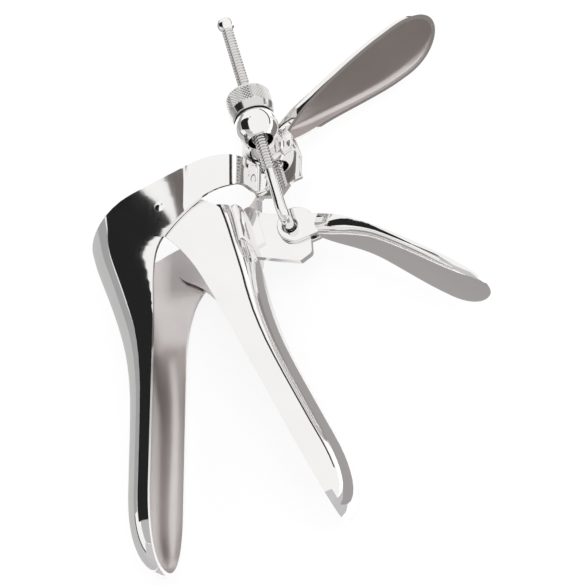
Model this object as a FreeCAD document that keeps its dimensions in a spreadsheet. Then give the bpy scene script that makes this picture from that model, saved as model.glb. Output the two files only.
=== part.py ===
import FreeCAD, Part
import math
import os
import Sketcher
from FreeCAD import Placement, Rotation, Vector

# Bivalve speculum with a side screw, drawn lying on its side as it is put down on a table.
# Origin: on the pivot axis, on the outer face of the far ear, which is the face it rests on.
# X runs along the left valve to its tip, Y from the left valve towards the right one and the
# handles, Z up along the pivot axis. Shapes are drawn about the mid-plane of the instrument and
# are lifted by half the width over the ears.

doc = FreeCAD.newDocument("BivalveSpeculum")
sheet = doc.addObject("Spreadsheet::Sheet", "Sizes")

SIZES = {
    # sheet metal and the pivot
    "valve_wall": 1.2,
    "ear_half_span": 19.0,
    "ear_flat_reach": 8.5,
    "ear_land_depth": 0.05,
    "pivot_clearance": 0.1,
    "opening_at_rest": 26.7,
    # the two valves
    "valve_half_width": 15.0,
    "valve_reach": 100.5,
    "valve_nose_length": 22.0,
    "valve_corner_power": 2.4,
    "left_rim_offset": 2.5,
    "right_rim_offset": 0.8,
    "left_valve_depth": 8.8,
    "right_valve_depth": 9.6,
    "left_mouth_depth": 24.2,
    "right_mouth_depth": 18.6,
    "flare_start": 52.0,
    "waist_start": 32.0,
    "waist_end": 8.0,
    "right_waist_lead": 4.0,
    # mouth ring of the left valve
    "mouth_setback": 8.6,
    "mouth_tilt": 22.8,
    "ring_crown": 22.5,
    "strap_tab_start": 25.6,
    "strap_tab_end": 27.0,
    "right_ear_radius": 7.0,
    "right_ear_flat_reach": 5.3,
    "right_mouth_edge": 6.2,
    # flat plates in the mid-plane
    "plate_thickness": 2.0,
    "plate_corner": 1.5,
    # handles
    "handle_wall": 1.4,
    "handle_length": 54.0,
    "handle_nose_length": 13.0,
    "handle_half_width": 12.6,
    "handle_root_depth": 5.2,
    "upper_handle_depth": 3.9,
    "lower_handle_depth": 3.0,
    "handle_corner_power": 3.0,
    "handle_sweep": 4.8,
    "handle_rim_offset": 4.3,
    "seat_gap": 0.25,
    "upper_handle_root_x": -24.0,
    "upper_handle_root_y": 34.5,
    "upper_handle_angle": 131.0,
    "lower_handle_root_x": 21.5,
    "lower_handle_root_y": 33.9,
    "lower_handle_angle": 36.8,
    "handle_tongue_radius": 5.4,
    "handle_tongue_setback": 5.9,
    # screw drive
    "swivel_x": -27.0,
    "swivel_y": 25.0,
    "screw_height": 9.0,
    "swivel_ball_radius": 6.25,
    "swivel_bore_radius": 3.7,
    "swivel_stem_radius": 2.5,
    "swivel_base_radius": 6.6,
    "swivel_base_thickness": 0.8,
    "stem_washer_radius": 3.6,
    "stem_washer_thickness": 0.8,
    "stem_head_radius": 3.0,
    "stem_head_thickness": 0.7,
    "running_fit": 0.05,
    "end_play": 0.1,
    "eye_x": 16.88,
    "eye_y": 28.22,
    "screw_core_radius": 1.6,
    "thread_radius": 1.8,
    "thread_fit": 0.06,
    "eye_clearance": 0.55,
    "screw_bend_radius": 4.0,
    "plain_length": 15.2,
    "screw_length": 66.5,
    "stop_ball_radius": 2.8,
    "stop_socket_depth": 1.5,
    "hook_washer_radius": 3.4,
    "hook_washer_thickness": 0.8,
    "nut_radius": 6.5,
    "nut_gap": 3.6,
    "nut_height": 7.9,
    "nut_band_height": 2.4,
    "nut_chamfer": 0.6,
    "nut_seat_clearance": 0.2,
    # rivets
    "pivot_rivet_radius": 1.65,
    "pivot_rivet_head_radius": 3.0,
    "pivot_rivet_head_thickness": 0.8,
    "strap_rivet_radius": 1.6,
    "strap_rivet_x": -15.2,
    "strap_rivet_y": 24.6,
    "handle_rivet_radius": 1.1,
    "front_rivet_x": -18.9,
    "front_rivet_y": 29.3,
    "rear_rivet_x": -24.25,
    "rear_rivet_y": 32.95,
    # plate feet brazed to the back of the right valve
    "foot_wall": 1.0,
    "foot_half_width": 10.0,
    "foot_flange_height": 3.6,
    "foot_start": 6.2,
    "foot_end": 17.0,
}

for row, (alias, value) in enumerate(SIZES.items(), start=1):
    sheet.set(f"A{row}", alias.replace("_", " "))
    sheet.set(f"B{row}", str(value))
    sheet.setAlias(f"B{row}", alias)

# Outlines of the two flat plates, corner by corner, in millimetres.
# The screw plate lies in the frame of the left valve, the lever plate in that of the right one.
SCREW_PLATE_CORNERS = [
    (-9.5, 22.3),
    (-8.5, 29.6),
    (-12.3, 32.3),
    (-15.2, 34.2),
    (-22.0, 34.5),
    (-30.3, 27.3),
    (-34.0, 24.6),
    (-34.0, 20.0),
    (-31.0, 18.3),
    (-21.0, 18.3),
]
LEVER_PLATE_CORNERS = [
    (6.2, 10.0),
    (3.2, 20.8),
    (7.7, 23.4),
    (10.2, 26.5),
    (12.0, 33.0),
    (16.0, 35.4),
    (19.8, 33.0),
    (27.2, 29.8),
    (27.7, 25.8),
    (19.4, 16.0),
    (17.4, 10.0),
]
for name, corners in (("screw_plate", SCREW_PLATE_CORNERS), ("lever_plate", LEVER_PLATE_CORNERS)):
    for number, corner in enumerate(corners, start=1):
        for axis, value in zip(("across", "along"), corner):
            row += 1
            alias = f"{name}_{axis}_{number}"
            sheet.set(f"A{row}", alias.replace("_", " "))
            sheet.set(f"B{row}", str(value))
            sheet.setAlias(f"B{row}", alias)
doc.recompute()


def size(alias):
    """One driving dimension, read from the sheet."""
    return float(sheet.get(alias))


MID_HEIGHT = size("ear_half_span") - size("ear_land_depth")
LEFT_FRAME = Placement(Vector(0, 0, MID_HEIGHT), Rotation())
RIGHT_FRAME = Placement(
    Vector(0, 0, MID_HEIGHT), Rotation(Vector(0, 0, 1), size("opening_at_rest"))
)
NODES = {}


def keep(obj, label, placement=None):
    """Names a finished sub-part and puts it in its frame."""
    obj.Label = label
    if placement is not None:
        obj.Placement = placement
    NODES[label] = obj
    return obj


def feature(label, shape, placement):
    """A formed sheet, whose shape is worked out here from the sizes."""
    obj = doc.addObject("Part::Feature", "Shape_" + label)
    obj.Shape = shape
    return keep(obj, label, placement)


def bind(obj, **sizes):
    """Ties properties of an object to expressions over the sheet."""
    for prop, expression in sizes.items():
        obj.setExpression(prop.replace("__", "."), expression)
    return obj


def smooth(value):
    """A step from 0 to 1 that starts and ends level."""
    value = min(1.0, max(0.0, value))
    return value * value * (3 - 2 * value)


# Formed sheets: a closed outer body through sections, less an inner body one wall smaller, cut to
# its rim. A section is a list of runs of (depth, height) points, from the near side round the
# back to the far side. A run of two points is straight; a longer one is the control line of a
# smooth curve. Each run makes one surface of the body.

NOSE_ANGLES = (15, 30, 45, 60, 75, 89)


def mirrored(half):
    """All runs of a section from those of its near half; the last one meets the mid-plane."""
    turned = [[(depth, -height) for depth, height in reversed(run)] for run in reversed(half)]
    across = half[-1] + turned[0][1:]
    return half[:-1] + [across] + turned[1:]


def knots_of(control):
    """Degree, knots and their multiplicities of a curve that starts and ends on its control line."""
    degree = min(3, len(control) - 1)
    spans = len(control) - degree
    repeats = [degree + 1] + [1] * (spans - 1) + [degree + 1]
    return degree, [float(knot) for knot in range(spans + 1)], repeats


def run_edge(control):
    degree, knots, repeats = knots_of(control)
    curve = Part.BSplineCurve()
    curve.buildFromPolesMultsKnots(control, repeats, knots, False, degree)
    return curve.toShape()


def run_face(controls, places):
    """The surface that carries one run's control line through all its places."""
    strands = []
    for index in range(len(controls[0])):
        strand = Part.BSplineCurve()
        strand.interpolate(Points=[control[index] for control in controls], Parameters=places)
        strands.append(strand)
    degree, knots, repeats = knots_of(controls[0])
    first = strands[0]
    surface = Part.BSplineSurface()
    surface.buildFromPolesMultsKnots(
        [strand.getPoles() for strand in strands],
        repeats,
        first.getMultiplicities(),
        knots,
        first.getKnots(),
        False,
        False,
        degree,
        first.Degree,
    )
    return surface.toShape()


def formed_body(section, stations, nose_length, wall, to_point):
    """A solid through the sections, closed by a rounded nose."""
    length = nose_length - wall
    nose_start = stations[-1]
    places = [float(station) for station in stations]
    sections = []
    for station in stations:
        runs = section(station, wall)
        sections.append([[to_point(station, *point) for point in run] for run in runs])
    for angle in NOSE_ANGLES:
        turn = math.radians(angle)
        station = nose_start + length * math.sin(turn)
        runs = []
        for run in section(nose_start, wall):
            shrunk = [(depth * math.cos(turn), height * math.cos(turn)) for depth, height in run]
            runs.append([to_point(station, *point) for point in shrunk])
        places.append(nose_start + length * turn)
        sections.append(runs)
    for runs in sections:
        runs.append([runs[-1][-1], runs[0][0]])
    faces = [
        run_face([runs[index] for runs in sections], places) for index in range(len(sections[0]))
    ]
    for runs in (sections[0], sections[-1]):
        faces.append(Part.Face(Part.Wire([run_edge(run) for run in runs])))
    shell = Part.makeShell(faces)
    shell.sewShape()
    body = Part.makeSolid(shell)
    if body.Volume < 0:
        body.reverse()
    return body


def formed_sheet(section, stations, nose_length, wall, to_point):
    """The outer body, and the sheet between it and the inner one."""
    outer = formed_body(section, stations, nose_length, 0, to_point)
    inner = formed_body(section, stations, nose_length, wall, to_point)
    return outer, outer.cut(inner)


def side_cutter(edges, half_height):
    """A block whose outline, seen from the side, is the given edges."""
    face = Part.Face(Part.Wire(edges))
    face.translate(Vector(0, 0, -half_height))
    return face.extrude(Vector(0, 0, 2 * half_height))


def line(start, end):
    return Part.LineSegment(Vector(*start, 0), Vector(*end, 0)).toShape()


def outline(points):
    """Straight edges from point to point, without the closing one."""
    return [line(start, end) for start, end in zip(points, points[1:])]


def spline(points):
    curve = Part.BSplineCurve()
    curve.interpolate([Vector(x, y, 0) for x, y in points])
    return curve.toShape()


def slab(x, y, reach, low, high):
    """A square block between two heights, centred on a point of the side view."""
    return Part.makeBox(2 * reach, 2 * reach, high - low, Vector(x - reach, y - reach, low))


def pin(radius, x, y, low, high):
    """A round bar along the pivot direction."""
    return Part.makeCylinder(radius, high - low, Vector(x, y, low))


def profile(stations, values):
    """A smooth curve through a few sizes along the sheet, given as a function."""
    curve = Part.BSplineCurve()
    curve.interpolate([Vector(x, y, 0) for x, y in zip(stations, values)])

    def at(x):
        x = min(max(x, stations[0]), stations[-1])
        low, high = curve.FirstParameter, curve.LastParameter
        for _ in range(40):
            middle = (low + high) / 2
            if curve.value(middle).x < x:
                low = middle
            else:
                high = middle
        return curve.value((low + high) / 2).y

    return at


WALL = size("valve_wall")
REACH = size("valve_reach")
NOSE = size("valve_nose_length")
NOSE_START = REACH - NOSE
EAR = size("ear_half_span")

# Sections stand closer at the ears. Those that would crowd the start of the nose are left out.
BEFORE_NOSE = 5.0
STATIONS = [-34, -26, -18, -10, -3, 4, 11, 18, 25, 32, 40, 50, 60, 70]
STATIONS = [station for station in STATIONS if station < NOSE_START - BEFORE_NOSE] + [NOSE_START]


def waist(station):
    """1 over the ears, 0 along the blade."""
    return smooth((size("waist_start") - station) / (size("waist_start") - size("waist_end")))


def half_width(station, at_ears):
    blade = size("valve_half_width")
    return blade + (at_ears - blade) * waist(station)


def nested_width(station):
    """Half width of the right valve, which narrows a little sooner to swing inside the ring."""
    return half_width(station + size("right_waist_lead") * waist(station), RIGHT_EAR)


def back_curve(depth, mouth_depth):
    """Depth of the back along a valve: the blade's own, flaring to the mouth."""
    rise = mouth_depth - depth
    stations = [-34, 0, 10, 20, 30, 40, size("flare_start"), NOSE_START]
    shares = [1.30, 1.0, 0.83, 0.57, 0.33, 0.14, 0.03, 0.0]
    return profile(stations, [depth + rise * share for share in shares])


def back_run(width, flat, depth, power):
    """Near half of the back's control line: from the flat side round the corner to the mid-plane.

    The corner leaves the side at a share of the depth, and its fullness follows the power of a
    superellipse.
    """
    leave = 0.45
    knot_depth = 0.75 + leave / 4
    knot_width = (1 - knot_depth ** power) ** (1 / power)
    corner = (knot_width - 0.25) * 12 / 7
    return [(flat, width), (flat + (depth - flat) * leave, width), (depth, width * corner), (depth, 0.0)]


# Left valve, with the mouth ring that its two straps close on the handles' side.

left_back = back_curve(size("left_valve_depth"), size("left_mouth_depth"))
TAB_START = size("strap_tab_start")
TAB_END = size("strap_tab_end")
PLATE_HALF = size("plate_thickness") / 2
TAB_HALF = PLATE_HALF + WALL
EAR_FLAT = size("ear_flat_reach")
RIM_LEFT = size("left_rim_offset")


def ring_run(wall):
    """Near half of the ring beyond the flat ear: strap tab, turn-in and crown."""
    crown = size("ring_crown") - wall
    ear = EAR - wall
    tab = TAB_HALF - wall
    control = [
        (TAB_END, tab),
        (TAB_START, tab),
        (crown + 1.0, tab),
        (crown - 0.3, tab + 0.16 * (ear - tab)),
        (crown - 2.4, tab + 0.64 * (ear - tab)),
        (crown - 6.6, ear),
        (crown - 10.5, ear),
        (EAR_FLAT, ear),
    ]
    return [(-place - RIM_LEFT, height) for place, height in control]


def left_section(station, wall):
    width = half_width(station, EAR) - wall
    scale = width / (EAR - wall)
    ring = [(depth, height * scale) for depth, height in ring_run(wall)]
    flat = (EAR_FLAT - RIM_LEFT) * waist(station)
    power = size("valve_corner_power")
    back = back_run(width, flat, left_back(station) - wall, power)
    return mirrored([ring, [ring[-1], back[0]], back])


def left_point(station, depth, height):
    return Vector(station, -RIM_LEFT - depth, height)


left_shell = formed_sheet(left_section, STATIONS, NOSE, WALL, left_point)[1]

BEYOND = 34.0
MOUTH_SLOPE = math.tan(math.radians(size("mouth_tilt")))


def mouth_line(along):
    """Where the mouth plane of the ring crosses a given height of the side view."""
    return -size("mouth_setback") - MOUTH_SLOPE * along


STRAP_EDGE = [
    (-16.0, TAB_END + 0.4),
    (-11.4, TAB_END - 0.9),
    (-9.8, TAB_END - 3.4),
    (-9.2, 21.4),
    (-6.9, 18.9),
    (-1.7, 12.2),
    (5.8, 4.0),
    (12.5, -0.6),
    (21.0, -RIM_LEFT + 0.3),
    (30.0, -RIM_LEFT),
]
left_corners = [
    STRAP_EDGE[-1],
    (REACH + 5, -RIM_LEFT),
    (REACH + 5, -BEYOND),
    (mouth_line(-BEYOND), -BEYOND),
    (mouth_line(BEYOND), BEYOND),
    (STRAP_EDGE[0][0], BEYOND),
    STRAP_EDGE[0],
]
left_side = side_cutter(outline(left_corners) + [spline(STRAP_EDGE)], EAR + 5)

PIVOT_PIN = size("pivot_rivet_radius")
EAR_FACE = EAR - size("ear_land_depth")
left_sheet = left_shell.common(left_side)
left_sheet = left_sheet.common(slab(REACH / 2, 0, REACH, -EAR_FACE, EAR_FACE))
left_sheet = left_sheet.cut(pin(PIVOT_PIN, 0, 0, -EAR, EAR))
STRAP_PIN = (size("strap_rivet_radius"), size("strap_rivet_x"), size("strap_rivet_y"))
left_sheet = left_sheet.cut(pin(*STRAP_PIN, -TAB_HALF - 1, TAB_HALF + 1))
feature("left_valve", left_sheet, LEFT_FRAME)

# Right valve, whose ears lie inside the ring.

RIM_RIGHT = size("right_rim_offset")
RIGHT_EAR = EAR - WALL - size("pivot_clearance")
EAR_RADIUS = size("right_ear_radius")
MOUTH_EDGE = size("right_mouth_edge")
right_back = back_curve(size("right_valve_depth"), size("right_mouth_depth"))


def right_section(station, wall):
    width = nested_width(station) - wall
    flat = (size("right_ear_flat_reach") - RIM_RIGHT) * waist(station)
    power = size("valve_corner_power")
    back = back_run(width, flat, right_back(station) - wall, power)
    return mirrored([[(-EAR_RADIUS - 5, width), back[0]], back])


def right_point(station, depth, height):
    return Vector(station, RIM_RIGHT + depth, height)


right_outer, right_shell = formed_sheet(right_section, STATIONS, NOSE, WALL, right_point)
RIGHT_EDGE = [(32.0, RIM_RIGHT), (20.0, 0.2), (10.0, -2.2), (4.0, -5.6)]
MOUTH_CORNER = (MOUTH_EDGE, 2 * EAR_RADIUS - 0.5)
right_corners = [
    RIGHT_EDGE[-1],
    (-2.0, EAR_RADIUS - 0.4),
    MOUTH_CORNER,
    (MOUTH_EDGE, BEYOND),
    (REACH + 5, BEYOND),
    (REACH + 5, RIM_RIGHT),
    RIGHT_EDGE[0],
]
right_side = side_cutter(outline(right_corners) + [spline(RIGHT_EDGE)], EAR + 5)
right_side = right_side.fuse(pin(EAR_RADIUS, 0, 0, -EAR - 5, EAR + 5))
right_sheet = right_shell.common(right_side)
right_sheet = right_sheet.cut(pin(PIVOT_PIN + size("running_fit"), 0, 0, -EAR, EAR))
feature("right_valve", right_sheet, RIGHT_FRAME)

# Feet of the lever plate: two thin sheets that hug the back of the right valve, each with a
# flange that stands up along the lever plate.

FOOT_WALL = size("foot_wall")
FLANGE = size("foot_flange_height")


def swollen_back(swell):
    """The right valve's outer body, made larger all round."""
    return formed_body(right_section, STATIONS, NOSE, -swell, right_point)


foot_span = Part.makeBox(
    size("foot_end") - size("foot_start"), BEYOND, 2 * EAR, Vector(size("foot_start"), RIM_RIGHT + 6, -EAR)
)
foot_skin = swollen_back(FOOT_WALL).common(foot_span)
foot_rib = swollen_back(FLANGE).common(foot_span)
for label, sign in (("near_plate_foot", 1), ("far_plate_foot", -1)):
    skin_low, skin_high = sorted((sign * PLATE_HALF, sign * size("foot_half_width")))
    rib_low, rib_high = sorted((sign * PLATE_HALF, sign * (PLATE_HALF + FOOT_WALL)))
    skin = foot_skin.common(slab(0, 0, REACH, skin_low, skin_high))
    rib = foot_rib.common(slab(0, 0, REACH, rib_low, rib_high))
    feature(label, skin.fuse(rib).cut(right_outer), RIGHT_FRAME)


# Flat plates: a sketched outline, padded about the mid-plane, with its holes and round corners.


def plate_body(label, corners, holes):
    """A padded plate; holes are (radius, x, y) expressions over the sheet."""
    body = doc.addObject("PartDesign::Body", "Body_" + label)
    plane = [f for f in body.Origin.OriginFeatures if f.Role == "XY_Plane"][0]
    sketch = body.newObject("Sketcher::SketchObject", "Outline_" + label)
    sketch.AttachmentSupport = [(plane, "")]
    sketch.MapMode = "FlatFace"
    count = len(corners)
    for index in range(count):
        start, end = corners[index], corners[(index + 1) % count]
        sketch.addGeometry(Part.LineSegment(Vector(*start, 0), Vector(*end, 0)), False)
    for index in range(count):
        sketch.addConstraint(Sketcher.Constraint("Coincident", index, 2, (index + 1) % count, 1))
    for index, corner in enumerate(corners):
        for kind, axis, value in zip(("DistanceX", "DistanceY"), ("across", "along"), corner):
            number = sketch.addConstraint(Sketcher.Constraint(kind, -1, 1, index, 1, value))
            alias = f"Sizes.{label}_{axis}_{index + 1}"
            sketch.setExpression(f"Constraints[{number}]", alias)
    pad = body.newObject("PartDesign::Pad", "Pad_" + label)
    pad.Profile = sketch
    pad.SideType = "Symmetric"
    pad.setExpression("Length", "Sizes.plate_thickness")
    doc.recompute()
    rounded = body.newObject("PartDesign::Fillet", "Corners_" + label)
    edges = []
    for number, edge in enumerate(pad.Shape.Edges, start=1):
        ends = [vertex.Point for vertex in edge.Vertexes]
        upright = len(ends) == 2 and abs(ends[0].z - ends[1].z) > PLATE_HALF
        if upright:
            edges.append(f"Edge{number}")
    rounded.Base = (pad, edges)
    rounded.setExpression("Radius", "Sizes.plate_corner")
    doc.recompute()
    previous = rounded
    for number, (radius, x, y) in enumerate(holes, start=1):
        drilled = body.newObject("PartDesign::SubtractiveCylinder", f"Hole_{label}_{number}")
        drilled.setExpression("Radius", radius)
        drilled.setExpression("Height", "Sizes.plate_thickness * 3")
        drilled.setExpression("Placement.Base.x", x)
        drilled.setExpression("Placement.Base.y", y)
        drilled.setExpression("Placement.Base.z", "-Sizes.plate_thickness * 1.5")
        previous = drilled
    body.Tip = previous
    doc.recompute()
    return body


screw_plate = plate_body(
    "screw_plate",
    SCREW_PLATE_CORNERS,
    [
        ("Sizes.swivel_stem_radius + Sizes.running_fit", "Sizes.swivel_x", "Sizes.swivel_y"),
        ("Sizes.strap_rivet_radius", "Sizes.strap_rivet_x", "Sizes.strap_rivet_y"),
        ("Sizes.handle_rivet_radius", "Sizes.front_rivet_x", "Sizes.front_rivet_y"),
        ("Sizes.handle_rivet_radius", "Sizes.rear_rivet_x", "Sizes.rear_rivet_y"),
    ],
)
keep(screw_plate, "screw_plate", LEFT_FRAME)

EYE_HOLE = "Sizes.screw_core_radius + Sizes.eye_clearance"
lever_blank = plate_body(
    "lever_plate", LEVER_PLATE_CORNERS, [(EYE_HOLE, "Sizes.eye_x", "Sizes.eye_y")]
)
valve_form = doc.addObject("Part::Feature", "Form_right_valve")
valve_form.Shape = right_outer
lever_plate = doc.addObject("Part::Cut", "Cut_lever_plate")
lever_plate.Base = lever_blank
lever_plate.Tool = valve_form
keep(lever_plate, "lever_plate", RIGHT_FRAME)
doc.recompute()

# Handles: a spoon with turned-up sides, whose sides run on as two tongues that grip a plate.
# Each is drawn in its own frame: X along the handle, the back on the side given by its sign.

HANDLE_WALL = size("handle_wall")
HANDLE_NOSE = size("handle_nose_length")
HANDLE_WIDTH = size("handle_half_width")
HANDLE_END = size("handle_length")
TONGUE_HALF = PLATE_HALF + HANDLE_WALL
SPOON_START = -1.0
SPOON_END = HANDLE_END - HANDLE_NOSE
HANDLE_STATIONS = [SPOON_START, 2.0, 6.0, 12.0, 18.0, 24.0, 32.0, SPOON_END]
RIM_ROOT = size("handle_rim_offset")
handle_width = profile(
    [SPOON_START, 6.0, 14.0, 24.0, 34.0, SPOON_END],
    [TONGUE_HALF] + [share * HANDLE_WIDTH for share in (0.47, 0.64, 0.84, 0.98, 1.0)],
)


def handle_rim(station):
    """The rim's place beside the handle's axis: level at the root, then swept towards it."""
    return RIM_ROOT - size("handle_sweep") * smooth((station - 7.0) / (HANDLE_END - 10.0))


def spoon(depth, side):
    root_depth = size("handle_root_depth")

    def section(station, wall):
        width = handle_width(station) - wall
        below = depth + (root_depth - depth) * smooth((20.0 - station) / 20.0)
        back = back_run(width, 0.0, below - wall, size("handle_corner_power"))
        return mirrored([[(-3.0, width), back[0]], back])

    def to_point(station, below_rim, height):
        return Vector(station, handle_rim(station) + side * below_rim, height)

    shell = formed_sheet(section, HANDLE_STATIONS, HANDLE_NOSE, HANDLE_WALL, to_point)[1]
    reach = side * 2 * HANDLE_WIDTH
    rim = [(station, handle_rim(station)) for station in range(-4, int(HANDLE_END) + 5, 6)]
    corners = [rim[-1], (rim[-1][0], reach), (rim[0][0], reach), rim[0]]
    return shell.common(side_cutter(outline(corners) + [spline(rim)], 2 * HANDLE_WIDTH))


def tongue(corners, sign):
    """A flat tongue on one face of a plate, from its outline in the handle's frame."""
    face = Part.Face(Part.Wire(outline(corners + [corners[0]])))
    low = PLATE_HALF if sign > 0 else -TONGUE_HALF
    face.translate(Vector(0, 0, low))
    return face.extrude(Vector(0, 0, HANDLE_WALL))


UPPER_ROOT = Placement(
    Vector(size("upper_handle_root_x"), size("upper_handle_root_y"), 0),
    Rotation(Vector(0, 0, 1), size("upper_handle_angle")),
)
LOWER_ROOT = Placement(
    Vector(size("lower_handle_root_x"), size("lower_handle_root_y"), 0),
    Rotation(Vector(0, 0, 1), size("lower_handle_angle")),
)
SWIVEL = (size("swivel_x"), size("swivel_y"))
UPPER_NEAR_TONGUE = [(1.5, 3.2), (-1.8, 0.0), (-6.4, 0.8), (-6.0, 3.5), (-3.0, 6.5), (0.0, 8.8), (1.5, 9.2)]
UPPER_FAR_TONGUE = [
    (1.5, 9.0),
    (1.5, 3.0),
    (-0.8, -2.5),
    (-4.0, -5.8),
    (-5.2, -7.7),
    (-8.9, -6.1),
    (-8.9, 0.9),
    (-6.5, 2.4),
    (-3.0, 5.0),
    (-1.5, 8.5),
]
upper = spoon(size("upper_handle_depth"), 1)
upper = upper.fuse([tongue(UPPER_NEAR_TONGUE, 1), tongue(UPPER_FAR_TONGUE, -1)])
upper.Placement = UPPER_ROOT
disc_room = pin(size("swivel_base_radius") + size("seat_gap"), *SWIVEL, 0, PLATE_HALF + HANDLE_WALL)
washer_room = pin(size("stem_washer_radius") + size("seat_gap"), *SWIVEL, -TONGUE_HALF - 1, 0)
FRONT_RIVET = (size("handle_rivet_radius"), size("front_rivet_x"), size("front_rivet_y"))
REAR_RIVET = (size("handle_rivet_radius"), size("rear_rivet_x"), size("rear_rivet_y"))
rivet_holes = [pin(*place, -TONGUE_HALF - 1, TONGUE_HALF + 1) for place in (FRONT_RIVET, REAR_RIVET)]
upper = upper.cut([disc_room, washer_room] + rivet_holes)
feature("upper_handle", upper.removeSplitter(), LEFT_FRAME)

TONGUE_RADIUS = size("handle_tongue_radius")
TONGUE_AT = (-size("handle_tongue_setback"), -0.7)
LOWER_TONGUE = [
    (TONGUE_AT[0], TONGUE_AT[1] - TONGUE_RADIUS),
    (1.5, -0.9),
    (1.5, RIM_ROOT - 0.1),
    (TONGUE_AT[0], TONGUE_AT[1] + TONGUE_RADIUS),
]
lower = spoon(size("lower_handle_depth"), -1)
discs = [
    pin(TONGUE_RADIUS, *TONGUE_AT, PLATE_HALF, TONGUE_HALF),
    pin(TONGUE_RADIUS, *TONGUE_AT, -TONGUE_HALF, -PLATE_HALF),
]
lower = lower.fuse(discs + [tongue(LOWER_TONGUE, 1), tongue(LOWER_TONGUE, -1)])
lower.Placement = LOWER_ROOT
EYE_RADIUS = size("screw_core_radius") + size("eye_clearance")
EYE = (size("eye_x"), size("eye_y"))
lower = lower.cut(pin(EYE_RADIUS, *EYE, -TONGUE_HALF - 1, TONGUE_HALF + 1))
feature("lower_handle", lower.removeSplitter(), RIGHT_FRAME)

# Turned pieces and rivets, from plain solids.

ALONG_X = Rotation(Vector(0, 1, 0), 90)
UPRIGHT = Rotation()


def solid(kind, base, turn=UPRIGHT, **sizes):
    """A plain solid with its sizes tied to the sheet, at a place in its piece's frame."""
    obj = doc.addObject("Part::" + kind, kind)
    obj.Placement = Placement(Vector(*base), turn)
    return bind(obj, **sizes)


def fused(pieces):
    obj = doc.addObject("Part::MultiFuse", "Fused")
    obj.Shapes = pieces
    return obj


def cut(base, tool):
    obj = doc.addObject("Part::Cut", "Cut")
    obj.Base = base
    obj.Tool = tool
    return obj


def flush_rivet(label, place, low, height):
    """A rivet filed flush at both ends."""
    radius, x, y = place
    rivet = solid("Cylinder", (x, y, low), Radius=radius, Height=height)
    keep(rivet, label, LEFT_FRAME.multiply(rivet.Placement))


PIVOT_GAP = size("pivot_clearance")
HEAD_HEIGHT = size("pivot_rivet_head_thickness")
HEAD_TOP = EAR_FACE - 2 * WALL - PIVOT_GAP - size("end_play")
SHANK = "2 * Sizes.valve_wall + Sizes.pivot_clearance + Sizes.end_play - Sizes.ear_land_depth"
for label, turn in (("near_pivot_rivet", UPRIGHT), ("far_pivot_rivet", Rotation(Vector(1, 0, 0), 180))):
    shank = solid("Cylinder", (0, 0, HEAD_TOP), Radius="Sizes.pivot_rivet_radius", Height=SHANK)
    head = solid(
        "Cylinder",
        (0, 0, HEAD_TOP - HEAD_HEIGHT),
        Radius="Sizes.pivot_rivet_head_radius",
        Height="Sizes.pivot_rivet_head_thickness",
    )
    keep(fused([shank, head]), label, LEFT_FRAME.multiply(Placement(Vector(), turn)))

flush_rivet(
    "strap_rivet",
    ("Sizes.strap_rivet_radius", *STRAP_PIN[1:]),
    -TAB_HALF,
    "Sizes.plate_thickness + 2 * Sizes.valve_wall",
)
flush_rivet(
    "upper_handle_rear_rivet",
    ("Sizes.handle_rivet_radius", *REAR_RIVET[1:]),
    -TONGUE_HALF,
    "Sizes.plate_thickness + 2 * Sizes.handle_wall",
)
flush_rivet(
    "upper_handle_front_rivet",
    ("Sizes.handle_rivet_radius", *FRONT_RIVET[1:]),
    -TONGUE_HALF,
    "Sizes.plate_thickness + Sizes.handle_wall + 0.3",
)

# Screw drive. The screw hooks through the lever plate and passes through a ball that turns on
# the screw plate; the nut bears on the ball's far side and draws the plates together.

eye_at_rest = Rotation(Vector(0, 0, 1), size("opening_at_rest")).multVec(Vector(*EYE, 0))
drive = Vector(*SWIVEL, 0) - eye_at_rest
DRIVE_ANGLE = math.degrees(math.atan2(drive.y, drive.x))
DRIVE_TURN = Rotation(Vector(0, 0, 1), DRIVE_ANGLE)
LIFT = size("screw_height")
SCREW_FRAME = LEFT_FRAME.multiply(Placement(Vector(eye_at_rest.x, eye_at_rest.y, LIFT), DRIVE_TURN))
SWIVEL_FRAME = LEFT_FRAME.multiply(Placement(Vector(*SWIVEL, LIFT), DRIVE_TURN))

base_disc = solid(
    "Cylinder",
    (*SWIVEL, PLATE_HALF),
    Radius="Sizes.swivel_base_radius",
    Height="Sizes.swivel_base_thickness",
)
base_hole = solid(
    "Cylinder",
    (*SWIVEL, 0),
    Radius="Sizes.swivel_stem_radius + Sizes.running_fit",
    Height="Sizes.plate_thickness * 3",
)
keep(cut(base_disc, base_hole), "swivel_base", LEFT_FRAME)

BALL_RADIUS = size("swivel_ball_radius")
PLATE_FACE = -LIFT - PLATE_HALF
WASHER_TOP = PLATE_FACE - size("end_play")
WASHER_FOOT = WASHER_TOP - size("stem_washer_thickness")
STEM_FOOT = WASHER_FOOT - size("stem_head_thickness")
ball = solid("Sphere", (0, 0, 0), Radius="Sizes.swivel_ball_radius")
stem = solid("Cylinder", (0, 0, STEM_FOOT), Radius="Sizes.swivel_stem_radius")
STEM_TOP = -(size("swivel_bore_radius") + 0.8)
stem.Height = STEM_TOP - STEM_FOOT
stem_head = solid(
    "Cylinder",
    (0, 0, STEM_FOOT),
    Radius="Sizes.stem_head_radius",
    Height="Sizes.stem_head_thickness",
)
ball_bore = solid(
    "Cylinder",
    (-BALL_RADIUS - 1, 0, 0),
    ALONG_X,
    Radius="Sizes.swivel_bore_radius",
    Height="2 * Sizes.swivel_ball_radius + 2",
)
keep(cut(fused([ball, stem, stem_head]), ball_bore), "swivel_ball", SWIVEL_FRAME)
washer = solid(
    "Cylinder",
    (0, 0, WASHER_FOOT),
    Radius="Sizes.stem_washer_radius",
    Height="Sizes.stem_washer_thickness",
)
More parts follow.
